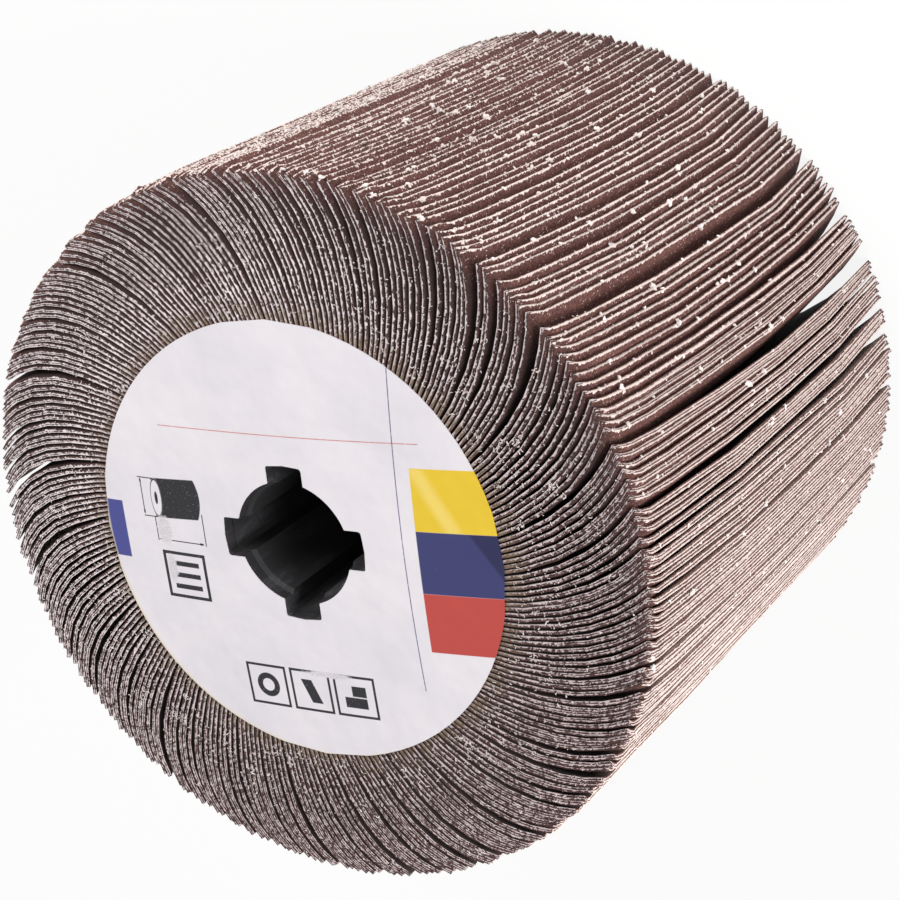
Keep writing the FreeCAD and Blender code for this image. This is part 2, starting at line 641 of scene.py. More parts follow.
@dataclass(frozen=True)
class CutEdgeFinish:
    """The cut edge of a flap: fluffy pale cloth on one side, a thin line of grit on the other, with
    painted shade on one side of the ends.
    """

    cream: Colour = (230, 214, 208)
    grey: Colour = (240, 230, 233)
    # painted shade: the grey that the ends' pale cloth turns to on the side away from the key lamp
    shaded_grey: Colour = (146, 126, 128)
    pink: Colour = (186, 150, 142)
    grit: Colour = (118, 78, 70)
    glue: Colour = (128, 108, 88)
    dark: Colour = (64, 42, 40)
    deep: Colour = (34, 22, 23)
    end_share: float = 0.5
    # the pale share on the ends' shaded side, lowered as painted shade
    shaded_side_share: float = 0.38
    tip_share: float = 0.62
    split_share: float = 0.52
    bead: float = 0.85
    bead_depth: float = 0.16
    front: float = 99.3
    glue_radius: float = 38.6

    def material(self) -> bpy.types.Material:
        """The finish as a material.

        Returns:
            The material.
        """
        tree = ShaderTree("cut_edge")
        x, y, z = tree.axes()
        across = tree.attribute("across")
        on_end = z.above(self.front, 0.4).either(z.below(100 - self.front, 0.4))
        ragged = tree.noise(0.9, 3.0, 0.7) - 0.5
        split = tree.attribute("swell").above(1.25, 0.1)
        half = across * 2.0 - (across * 2.0).fract()
        across = across + split * ((across * 2.0).fract() - across)
        across = across + (1.0 - on_end) * (1.0 - across * 2.0)
        share = self.tip_share + split * (self.split_share - self.tip_share)
        # Painted shade: across the ends, less pale cloth and a duller grey towards +X and -Y, the side
        # away from the key lamp.
        low = (x * 0.6 - y * 0.8).above(0.0, 60.0)
        share = share + on_end * (self.end_share + low * (self.shaded_side_share - self.end_share) - share)
        radius = x.hypot(y)
        beads = ((radius + tree.noise(1.6) * 3.0) * (2 * math.pi / self.bead) + half * 2.4).sine()
        share = share + on_end * beads * self.bead_depth
        cloth = (across + share + ragged * (1.1 + on_end * 1.5)).above(1.0, 0.2)
        fluff = tree.noise(0.26, 3.0, 0.75)
        grey = tree.mix(low * 0.5, self.grey, self.shaded_grey)
        pale = tree.mix(on_end, self.cream, grey)
        pale = tree.mix(fluff.above(0.56, 0.2) * (0.3 + on_end * 0.4), pale, self.pink)
        coat = tree.mix(fluff.above(0.48, 0.25) * 0.7, self.grit, self.dark)
        coat = tree.mix(on_end * 0.65, coat, self.deep)
        colour = tree.mix(cloth, coat, pale)
        smear = radius.below(self.glue_radius, 4.0) * tree.noise(2.5, 3.0).above(0.45, 0.2)
        colour = tree.mix(smear * 0.75, colour, self.glue)
        height = cloth * 0.6 + fluff * 0.6
        return tree.finish(colour, 0.96, tree.bump(height, 0.12))


@dataclass(frozen=True)
class LintFinish:
    """Loose fibre worn off the backing cloth."""

    fibre: Colour = (244, 238, 236)
    dusty: Colour = (222, 210, 206)

    def material(self) -> bpy.types.Material:
        """The finish as a material.

        Returns:
            The material.
        """
        tree = ShaderTree("lint")
        dust = tree.noise(1.5, 3.0)
        colour = tree.mix(dust.above(0.5, 0.3), self.fibre, self.dusty)
        return tree.finish(colour, 0.98, tree.bump(tree.noise(0.15), 0.03))


@dataclass(frozen=True)
class MouldedFinish:
    """Black moulded plastic, satin, with dusty rubbed edges."""

    name: str
    black: Colour = (48, 47, 49)
    rubbed: Colour = (84, 82, 86)

    def material(self) -> bpy.types.Material:
        """The finish as a material.

        Returns:
            The material.
        """
        tree = ShaderTree(self.name)
        scuffs = tree.noise(3.0, 4.0, 0.65, tree.stretched(1.0, 0.15))
        dust = tree.noise(0.5, 3.0, 0.7)
        mark = scuffs.above(0.56, 0.12) * dust.above(0.45, 0.3)
        colour = tree.mix(mark * 0.55, self.black, self.rubbed)
        dull = {"Specular IOR Level": 0.15}
        return tree.finish(colour, 0.6 + mark * 0.3, tree.bump(dust, 0.02), dull)


@dataclass(frozen=True)
class ResinFinish:
    """Cast resin, tan brown, with fine bubbles."""

    tan: Colour = (166, 128, 84)
    deep: Colour = (112, 80, 48)

    def material(self) -> bpy.types.Material:
        """The finish as a material.

        Returns:
            The material.
        """
        tree = ShaderTree("resin")
        cloud = tree.noise(5.0, 4.0)
        bubble, own = tree.grains(1.2)
        pits = bubble.below(0.22, 0.1) * own.above(0.6, 0.05)
        colour = tree.mix(cloud.above(0.5, 0.3), self.tan, self.deep)
        return tree.finish(colour, 0.3 + cloud * 0.3, tree.bump(1.0 - pits, 0.1))


def union(masks: Iterable[Flow]) -> Flow:
    """The largest of several masks."""
    return reduce(Flow.either, masks)


@dataclass(frozen=True)
class PrintFrame:
    """A ruled frame on the label, in the label's own millimetres."""

    left: float
    right: float
    top: float
    bottom: float
    line: float


@dataclass(frozen=True)
class LabelFinish:
    """White label paper with its fields of colour, ruled lines and wear, with a painted sheen on the
    yellow and painted shade in a corner of the navy.
    """

    paper: Colour = (229, 224, 229)
    tone: Colour = (212, 208, 217)
    aged: Colour = (224, 212, 188)
    yellow: Colour = (226, 192, 52)
    # painted reflection: a paler band across the yellow field
    sheen: Colour = (236, 210, 112)
    navy: Colour = (54, 57, 104)
    # painted shade: a darker corner of the navy field
    navy_shade: Colour = (28, 29, 66)
    red: Colour = (184, 72, 66)
    pen_red: Colour = (196, 112, 104)
    pen_blue: Colour = (72, 68, 118)
    blue: Colour = (70, 74, 138)
    ink: Colour = (30, 29, 34)
    smudge: Colour = (120, 112, 112)
    tilt: float = -4.5
    sag: float = 0.0009
    roll: float = 0.0007
    roll_middle: float = -8.0
    radius: float = 36.4

    def material(self) -> bpy.types.Material:
        """The finish as a material.

        Returns:
            The material.
        """
        tree = ShaderTree("label_paper")
        x, y, _ = tree.axes()
        u, v = self._print_place(x, y)
        cloud = tree.noise(14.0, 4.0, 0.6)
        colour = tree.mix(cloud.above(0.5, 0.3) * 0.5, self.paper, self.tone)
        colour = self._fields(tree, colour, u, v)
        skips = tree.noise(0.7, 3.0, 0.7).below(0.62, 0.2) * 0.5 + 0.5
        red_line = v.between(17.4, 17.54, 0.1) * u.between(-23.9, 23.5, 0.2)
        colour = tree.mix(red_line * skips, colour, self.pen_red)
        bend = u - v * (v * 0.000448 - 0.0049)
        blue_line = bend.between(18.95, 19.11, 0.1) * v.between(-23.2, 29.5, 0.2)
        colour = tree.mix(blue_line * skips, colour, self.pen_blue)
        ink = union((self._ruled(u, v), self._dimensions(u, v), self._drum(u, v)))
        rub = self._rubbed(tree, u, v)
        speck = tree.noise(0.22, 2.0, 0.8)
        colour = tree.mix(ink * (1.0 - rub) * speck.below(0.72, 0.12), colour, self.ink)
        colour = tree.mix(rub * speck.above(0.5, 0.3) * 0.35, colour, self.smudge)
        rim = x.hypot(y).above(self.radius + 0.05, 0.3) * (x + y).below(-20.0, 20.0)
        colour = tree.mix(rim * 0.7, colour, self.aged)
        waves = tree.noise(7.0, 2.0)
        fibres = tree.noise(0.25, 3.0)
        normal = tree.bump(waves, 0.35)
        normal = tree.bump(fibres + rub * 0.8, 0.015, normal)
        return tree.finish(colour, 0.6 + rub * 0.3, normal, {"Specular IOR Level": 0.35})

    def _print_place(self, x: Flow, y: Flow) -> tuple[Flow, Flow]:
        """The place along and up the print, which is turned and drawn a little out of true.

        Args:
            x: the place along the wheel's X.
            y: the place along the wheel's Y.

        Returns:
            The place along the print and up it, in millimetres from the wheel's axis.
        """
        tilt = math.radians(self.tilt)
        u = x * math.cos(tilt) + y * math.sin(tilt)
        v = y * math.cos(tilt) - x * math.sin(tilt)
        off = u - self.roll_middle
        return u - v * v * self.sag, v - off * off * self.roll

    def _fields(self, tree: ShaderTree, colour: object, u: Flow, v: Flow) -> object:
        """The printed fields of colour, with a painted sheen on the yellow field and painted shade in a
        corner of the navy field.

        Args:
            tree: the material's tree.
            colour: the paper's colour.
            u: the place along the print.
            v: the place up the print.

        Returns:
            The colour with its fields.
        """
        edge = 0.12
        worn = tree.noise(0.4, 3.0, 0.8).below(0.76, 0.06)
        column = u.above(21.57, edge) * worn
        bands = (
            (13.63, 3.52, self.yellow),
            (3.52, -6.62, self.navy),
            (-6.62, -16.38, self.red),
        )
        for top, bottom, paint in bands:
            colour = tree.mix(column * v.between(bottom, top, edge), colour, paint)
        # Painted reflection: a paler diagonal band across the yellow field.
        sheen_band = (v + u * 1.67).between(48.5, 53.0, 2.5) * v.between(3.6, 13.5, edge) * column
        colour = tree.mix(sheen_band * 0.8, colour, self.sheen)
        # Painted shade: a darker corner of the navy field by the rim.
        corner = (v + u * 1.4).above(46.5, 1.0) * v.between(-6.6, 3.5, edge) * column
        colour = tree.mix(corner * 0.85, colour, self.navy_shade)
        field_left = u.below(-33.3, edge) * v.between(-6.4, 3.47, edge) * worn
        return tree.mix(field_left, colour, self.blue)

    def _ruled(self, u: Flow, v: Flow) -> Flow:
        """The ruled frames and the plain shapes in them.

        Args:
            u: the place along the print.
            v: the place up the print.

        Returns:
            The mask of their ink.
        """
        frames = (
            PrintFrame(-26.78, -18.55, -4.22, -12.32, 0.56),
            PrintFrame(-14.14, -6.64, -22.12, -29.34, 0.44),
            PrintFrame(-5.88, 1.63, -22.08, -29.34, 0.44),
            PrintFrame(2.3, 10.02, -22.08, -29.32, 0.44),
        )
        masks = [self._frame(u, v, ruled) for ruled in frames]
        bars = [(-25.2, -20.0, row - 0.42, row + 0.42) for row in (-6.3, -8.3, -10.3)]
        steps = [(4.1, 8.2, -27.7, -25.9), (5.6, 8.2, -25.7, -23.9)]
        for left, right, bottom, top in bars + steps:
            masks.append(u.between(left, right, 0.1) * v.between(bottom, top, 0.1))
        masks.append((u + 10.4).hypot(v + 25.75).between(1.1, 2.1, 0.1))
        slab = abs(u + 2.12 + (v + 25.75) * 0.4)
        masks.append(slab.below(1.0, 0.1) * v.between(-27.8, -23.8, 0.1))
        return union(masks)

    def _frame(self, u: Flow, v: Flow, ruled: PrintFrame) -> Flow:
        """One ruled frame's mask.

        Args:
            u: the place along the print.
            v: the place up the print.
            ruled: the frame.

        Returns:
            The mask of its ink.
        """
        line = ruled.line
        outside = u.between(ruled.left, ruled.right, 0.08) * v.between(ruled.bottom, ruled.top, 0.08)
        inside = u.between(ruled.left + line, ruled.right - line, 0.08)
        inside = inside * v.between(ruled.bottom + line, ruled.top - line, 0.08)
        return outside - inside

    def _dimensions(self, u: Flow, v: Flow) -> Flow:
        """The thin lines round the small drawing, with their thick ends.

        Args:
            u: the place along the print.
            v: the place up the print.

        Returns:
            The mask of their ink.
        """
        thin = 0.18
        rulings = (
            (u, -29.0, v, 2.0, 7.7),
            (u, -27.1, v, -2.6, 1.6),
            (u, -17.8, v, -2.6, 2.9),
            (v, -2.35, u, -26.9, -18.2),
            (v, 8.1, u, -29.5, -26.5),
            (v, 1.48, u, -29.2, -26.8),
        )
        ends = ((-29.0, 7.5, 0.16, 0.42), (-29.0, 2.2, 0.16, 0.42), (-18.7, -2.35, 0.42, 0.2))
        masks = [
            cross.between(place - thin / 2, place + thin / 2, 0.08) * run.between(low, high, 0.1)
            for cross, place, run, low, high in rulings
        ]
        for along, up, wide, tall in ends:
            masks.append(((u - along) / wide).hypot((v - up) / tall).below(1.0, 0.3))
        return union(masks)

    def _drum(self, u: Flow, v: Flow) -> Flow:
        """The small drawing of a plain drum: a dark body with a pale end.

        Args:
            u: the place along the print.
            v: the place up the print.

        Returns:
            The mask of its ink.
        """
        up = v - (u + 22.2) * 0.05 - 5.0
        bulge = up * (1 / 3.4)
        side = u - 0.8 * (1.0 - bulge * bulge)
        body = side.between(-27.0, -18.6, 0.12) * up.between(-3.37, 3.42, 0.12)
        end = ((u + 26.3) / 1.05).hypot(up / 3.35)
        ring = end.between(0.9, 1.0, 0.06)
        hole = ((u + 26.3) / 0.3).hypot(up / 1.1).below(1.0, 0.2)
        return union((body * end.above(1.0, 0.05), ring, hole))

    def _rubbed(self, tree: ShaderTree, u: Flow, v: Flow) -> Flow:
        """Where the print has been rubbed away.

        Args:
            tree: the material's tree.
            u: the place along the print.
            v: the place up the print.

        Returns:
            The mask of the rubbed places.
        """
        ragged = tree.noise(1.2, 4.0, 0.7)
        spots = (
            (-25.6, 1.6, -0.6, 2.6, 1.35, 0.25),
            (-25.2, 1.0, -7.2, 2.6, 1.35, 0.25),
            (1.4, 5.5, -22.5, 0.6, 1.3, 0.3),
        )
        return union(
            (((u - along) / wide).hypot((v - up) / tall) + ragged).below(edge, soft)
            for along, wide, up, tall, edge, soft in spots
        )


# The flaps

class End(Enum):
    """The two ends of the wheel."""

    REAR = "rear"
    FRONT = "front"


@dataclass
class FlapLayout:
    """Where each flap stands: the rule and sizes of the solids, and a little slack of its own."""

    length: float = 100.0
    resin_radius: float = 32.0
    front_tip_radius: float = 58.7
    rear_tip_radius: float = 59.3
    lean_side_angle: float = 30.0
    front_lean: float = 0.9
    rear_lean: float = 0.4
    rear_flattening: float = 0.9
    rear_flattening_angle: float = 75.0
    count: int = 264
    sweep: float = 15.4
    bow_height: float = 40.0
    bow_mean: float = 1.3
    bow_variation: float = 0.9
    rear_drift: float = 0.9
    seed: int = 11
    angle_unevenness: float = 0.14
    radius_unevenness: float = 0.25
    looseness: float = 0.24
    wobble: float = 0.2
    shiver: float = 0.09
    curl: float = 0.8
    curl_start: float = 96.5
    tip_ripple: float = 0.1
    tip_wave: float = 0.08
    corner_wear: float = 0.5
    corner_start: float = 98.4
    corner_span: float = 1.6
    squeeze_span: float = 5.0
    gaps: tuple[tuple[float, float, float], ...] = (
        (2.0, 0.9, 1.6), (7.0, 0.7, 1.1), (16.5, 1.2, 3.3), (24.0, 0.3, 0.9),
        (35.0, 2.0, 1.4), (43.5, 1.2, 0.8), (47.5, 1.0, 0.8), (55.0, 1.1, 0.7),
        (72.0, 0.7, 0.5), (90.0, 0.9, 0.7), (99.0, 0.9, 0.6), (111.0, 0.6, 0.5),
        (127.0, 1.0, 0.7), (153.0, 1.1, 0.8), (173.5, 2.1, 1.4), (187.5, 1.4, 1.0),
        (197.0, 0.5, 0.8), (211.0, 1.7, 1.2), (229.5, 1.1, 0.8), (238.0, 0.7, 0.6),
        (251.0, 0.8, 0.6), (264.0, 0.9, 0.7), (278.0, 0.8, 0.8), (284.0, 1.3, 1.0),
        (290.0, 0.9, 0.7), (295.5, 0.9, 0.8), (304.5, 1.3, 0.9), (314.0, 0.6, 0.6),
        (321.5, 1.2, 0.9), (326.0, 1.8, 1.1), (338.5, 0.6, 0.7), (352.5, 0.7, 1.2),
    )
    uneven: list[tuple[float, float, float]] = field(default_factory=list)
    loose: list[tuple[float, float, float, float]] = field(default_factory=list)

    def __post_init__(self) -> None:
        """Draw each flap's own unevenness from the fixed seeds."""
        chance = random.Random(self.seed)
        turn = self.angle_unevenness
        reach = self.radius_unevenness
        for _ in range(self.count):
            front = chance.uniform(-turn, turn)
            rear = chance.uniform(-turn, turn)
            self.uneven.append((front, rear, chance.uniform(-reach, reach)))
        slack = random.Random(self.seed + 1)
        for _ in range(self.count):
            turns = [slack.uniform(-self.looseness, self.looseness) for _ in range(3)]
            self.loose.append((turns[0], turns[1], turns[2], slack.uniform(0.5, 1.3)))

    def rim_shift(self, rim_angle: float, end: End) -> float:
        """How far the gaps near a tip push it round.

        Args:
            rim_angle: the tip's angle before it is pushed.
            end: the end of the wheel.

        Returns:
            The push in degrees.
        """
        shift = 0.0
        for angle, front_opening, rear_opening in self.gaps:
            opening = rear_opening if end is End.REAR else front_opening
            away = (rim_angle - angle + 180.0) % 360.0 - 180.0
            if abs(away) < self.squeeze_span:
                shift += math.copysign(opening / 2 * (1 - abs(away) / self.squeeze_span), away)
        return shift

    def tip_radius(self, angle: float, end: End) -> float:
        """The radius that the tips reach at one end.

        Args:
            angle: the tip's angle.
            end: the end of the wheel.

        Returns:
            The radius in millimetres.
        """
        side = math.cos(math.radians(angle - self.lean_side_angle))
        if end is End.FRONT:
            return self.front_tip_radius + self.front_lean * side
        pressed = math.cos(math.radians(2 * (angle - self.rear_flattening_angle)))
        return self.rear_tip_radius + self.rear_lean * side - self.rear_flattening * pressed

    def bow(self, height: float) -> float:
        """How much of its bow a flap has at a height: none at the ends, all of it at bow_height.

        Args:
            height: the height above the rear end.

        Returns:
            The share of the bow.
        """
        if height < self.bow_height:
            return 1.0 - ((self.bow_height - height) / self.bow_height) ** 2
        return 1.0 - ((height - self.bow_height) / (self.length - self.bow_height)) ** 3

    def swept(self, along: float, facing: float) -> float:
        """How far round a flap has swept at a share of its way out.

        Args:
            along: the share of the way from its root to its tip.
            facing: 1 on the side that the wheel leans to, -1 on the far side.

        Returns:
            The sweep in degrees: even on the near side, hooked over at the tip on the far side.
        """
        hooked = (1.0 - facing) / 2
        near = 0.8 * along + 0.2 * along ** 3
        far = 0.7 * along + 0.3 * along ** 6
        return self.sweep * (near + (far - near) * hooked)

    def slack(self, index: int, along: float, height: float) -> float:
        """How far one flap strays from its neighbours' line, in degrees.

        Args:
            index: which flap.
            along: the share of the way from its root to its tip.
            height: the height above the rear end.

        Returns:
            The stray turn.
        """
        rear, middle, front, curled = self.loose[index]
        up = height / self.length
        stray = rear * (1 - up) ** 2 + 2 * middle * up * (1 - up) + front * up ** 2
        beat = math.sin(height / 9.0 + index * 0.37) * math.sin(height / 23.0 - index * 0.21)
        quick = math.sin(index * 2.7 + height / 30.0) * math.sin(along * 9.0 + index * 1.9)
        stray += self.wobble * beat + self.shiver * quick
        rise = max(0.0, (height - self.curl_start) / (self.length - self.curl_start))
        return stray + self.curl * curled * rise ** 2 * along ** 3

    def point(self, index: int, along: float, height: float) -> Vector:
        """A point on the middle surface of one flap.

        Args:
            index: which flap.
            along: the share of the way from its root to its tip.
            height: the height above the rear end.

        Returns:
            The point, in millimetres.
        """
        root = index * 360.0 / self.count
        rim = root + self.sweep
        facing = math.cos(math.radians(rim - self.lean_side_angle))
        front_jitter, rear_jitter, reach_jitter = self.uneven[index]
        up = height / self.length
        front = self.rim_shift(rim, End.FRONT) + front_jitter
        rear = self.rim_shift(rim, End.REAR) + rear_jitter
        shift = rear + (front - rear) * up
        drift = self.rear_drift * (1 + facing) * (1 - up)
        drift += (self.bow_mean + self.bow_variation * facing) * self.bow(height)
        rear_radius = self.tip_radius(rim, End.REAR)
        reach = rear_radius + (self.tip_radius(rim, End.FRONT) - rear_radius) * up + reach_jitter
        reach += self.tip_ripple * math.sin(height * 1.7 + index * 2.3)
        reach += self.tip_wave * math.sin(height * 0.61 + index)
        reach -= self.corner_wear * max(0.0, (height - self.corner_start) / self.corner_span) ** 2
        radius = self.resin_radius + (reach - self.resin_radius) * along
        turn = (shift - drift + self.slack(index, along, height)) * along
        return polar(radius, root + self.swept(along, facing) + turn, height)


@dataclass
class FlapCloth:
    """Abrasive cloth flaps that are grown from their middle surfaces."""

    layout: FlapLayout
    grain: bpy.types.Material
    cloth: bpy.types.Material
    edge: bpy.types.Material
    thickness: float = 0.5
    swell: float = 0.8
    swell_angle: float = -22.0
    swell_span: float = 42.0
    wear: float = 0.18
    flare: float = 0.5
    flare_start: float = 96.5
    slim_angle: float = 45.0
    slim_span: float = 35.0
    fray_depth: float = 0.16
    fray_size: float = 1.3
    bundle: int = 11
    stations: tuple[float, ...] = (-0.02, 0.26, 0.48, 0.66, 0.81, 0.92, 1.0)
    levels: tuple[float, ...] = (0.0, 22.0, 44.0, 67.0, 88.0, 96.5, 98.4, 100.0)

    def tree(self) -> GeometryTree:
        """The rule that gives a middle surface its thickness, its faces and its frayed edges.

        Returns:
            The tree, ready to grow.
        """
        values = {
            "Thickness": self.thickness * MM,
            "Fray depth": self.fray_depth * MM,
            "Fray size": self.fray_size * MM,
            "Grain": self.grain,
            "Cloth": self.cloth,
            "Edge": self.edge,
        }
        tree = GeometryTree("flap_cloth", values)
        given = tree.given
        facing = tree.node("GeometryNodeInputNormal").outputs[0]
        thick = tree.maths("MULTIPLY", given["Thickness"], tree.carried("swell"))
        back = tree.maths("MULTIPLY", thick, -0.5)
        offset = tree.vector("SCALE", {0: facing, "Scale": back})
        inputs = {"Geometry": given["Geometry"], "Offset": offset}
        inner = tree.node("GeometryNodeSetPosition", {}, inputs).outputs[0]
        inner = self._mark(tree, inner, "across", 0.0)
        inner = self._mark(tree, inner, "grain_side", 1.0)
        inputs = {"Mesh": inner, "Offset Scale": thick, "Individual": False}
        raised = tree.node("GeometryNodeExtrudeMesh", {"mode": "FACES"}, inputs).outputs
        outer = self._mark(tree, raised["Mesh"], "across", 1.0, raised["Top"])
        outer = self._mark(tree, outer, "cloth_side", 1.0, raised["Top"], "FACE")
        outer = self._mark(tree, outer, "cut_side", 1.0, raised["Side"], "FACE")
        turned = tree.node("GeometryNodeFlipFaces", {}, {0: inner}).outputs[0]
        shell = tree.node(
            "GeometryNodeMergeByDistance",
            {},
            {"Geometry": tree.join(outer, turned), "Distance": 1e-7},
        ).outputs[0]
        inverse = tree.maths("DIVIDE", 1.0, given["Fray size"])
        depth = tree.maths("MULTIPLY", given["Fray depth"], tree.carried("rim"))
        shell = tree.roughened(shell, inverse, 2.0, tree.maths("MULTIPLY", depth, 2.0))
        smooth = tree.maths("LESS_THAN", tree.carried("cut_side"), 0.5)
        inputs = {"Geometry": shell, "Shade Smooth": smooth}
        shell = tree.node("GeometryNodeSetShadeSmooth", {"domain": "FACE"}, inputs).outputs[0]
        paints = (
            (True, given["Grain"]),
            (tree.carried("cloth_side"), given["Cloth"]),
            (tree.carried("cut_side"), given["Edge"]),
        )
        tree.close(shell, paints)
        return tree

    def _mark(
        self,
        tree: GeometryTree,
        shape: Socket,
        name: str,
        value: float,
        where: object = True,
        domain: str = "POINT",
    ) -> Socket:
        """Write a number onto part of a mesh.

        Args:
            tree: the tree.
            shape: the mesh.
            name: what the number is called.
            value: the number.
            where: the part that gets it.
            domain: whether points or faces carry it.

        Returns:
            The mesh with its number.
        """
        settings = {"data_type": "FLOAT", "domain": domain}
        inputs = {"Geometry": shape, "Selection": where, "Name": name, "Value": value}
        return tree.node("GeometryNodeStoreNamedAttribute", settings, inputs).outputs[0]

    def guide(self, first: int) -> bpy.types.Object:
        """The middle surfaces of one bundle of flaps.

        Args:
            first: the number of the bundle's first flap.

        Returns:
            An object that holds the surfaces.
        """
        points: list[Vector] = []
        faces: list[tuple[int, ...]] = []
        numbers: dict[str, list[float]] = {"rim": [], "from_tip": [], "swell": []}
        reach = self.layout.front_tip_radius - self.layout.resin_radius
        wide = len(self.stations)
        for index in range(first, first + self.bundle):
            start = len(points)
            for height in self.levels:
                on_end = height in (self.levels[0], self.levels[-1])
                for along in self.stations:
                    points.append(self.layout.point(index, along, height))
                    loose = 1.0 if on_end or along == self.stations[-1] else 0.0
                    numbers["rim"].append(loose if along > 0 else 0.0)
                    numbers["from_tip"].append((1.0 - along) * reach)
                    numbers["swell"].append(self._fullness(points[-1], max(0.0, along)))
            for row in range(len(self.levels) - 1):
                for column in range(wide - 1):
                    low = start + row * wide + column
                    high = low + wide
                    faces.append((low, high, high + 1, low + 1))
        return placed("flap_guide", mesh_of("flap_guide", points, faces, numbers))

    def _fullness(self, place: Vector, along: float) -> float:
        """How thick a flap is at a place, against its root.

        Args:
            place: the place on the flap.
            along: the share of the way from its root to its tip.

        Returns:
            The share of the root's thickness: less at worn tips, more where the cloth is fluffy.
        """
        angle = math.degrees(math.atan2(place.y, place.x))
        up = place.z / self.layout.length
        away = (angle - self.swell_angle + 180.0) % 360.0 - 180.0
        side = math.exp(-((away / self.swell_span) ** 8))
        tip = self.swell * side * (1.0 - 0.25 * up ** 4) - self.wear * (1.0 - side)
        away = (angle - self.slim_angle + 180.0) % 360.0 - 180.0
        rise = max(0.0, (place.z - self.flare_start) / (self.layout.length - self.flare_start))
        end = self.flare * (1.0 - math.exp(-((away / self.slim_span) ** 4))) * rise ** 2
        return 1.0 + max(tip * along ** 2, end * along)

    def build(self) -> list[bpy.types.Object]:
        """Grow every bundle, each in the place of its solid node.

        Returns:
            The bundles.
        """
        tree = self.tree()
        pieces = []
        for number in range(self.layout.count // self.bundle):
            name = "flaps_%02d" % (number + 1)
            piece = tree.grow(self.guide(number * self.bundle), name)
            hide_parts("flap_bundle_%02d" % (number + 1))
            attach(piece, "root")
            pieces.append(piece)
        log.info("%s: %d bundles, %d faces in one", "flaps", len(pieces), len(pieces[0].data.polygons))
        return pieces


class LintKind(Enum):
    """What a bit of lint is."""

    LUMP = "lump"
    CRUMB = "crumb"
    THREAD = "thread"


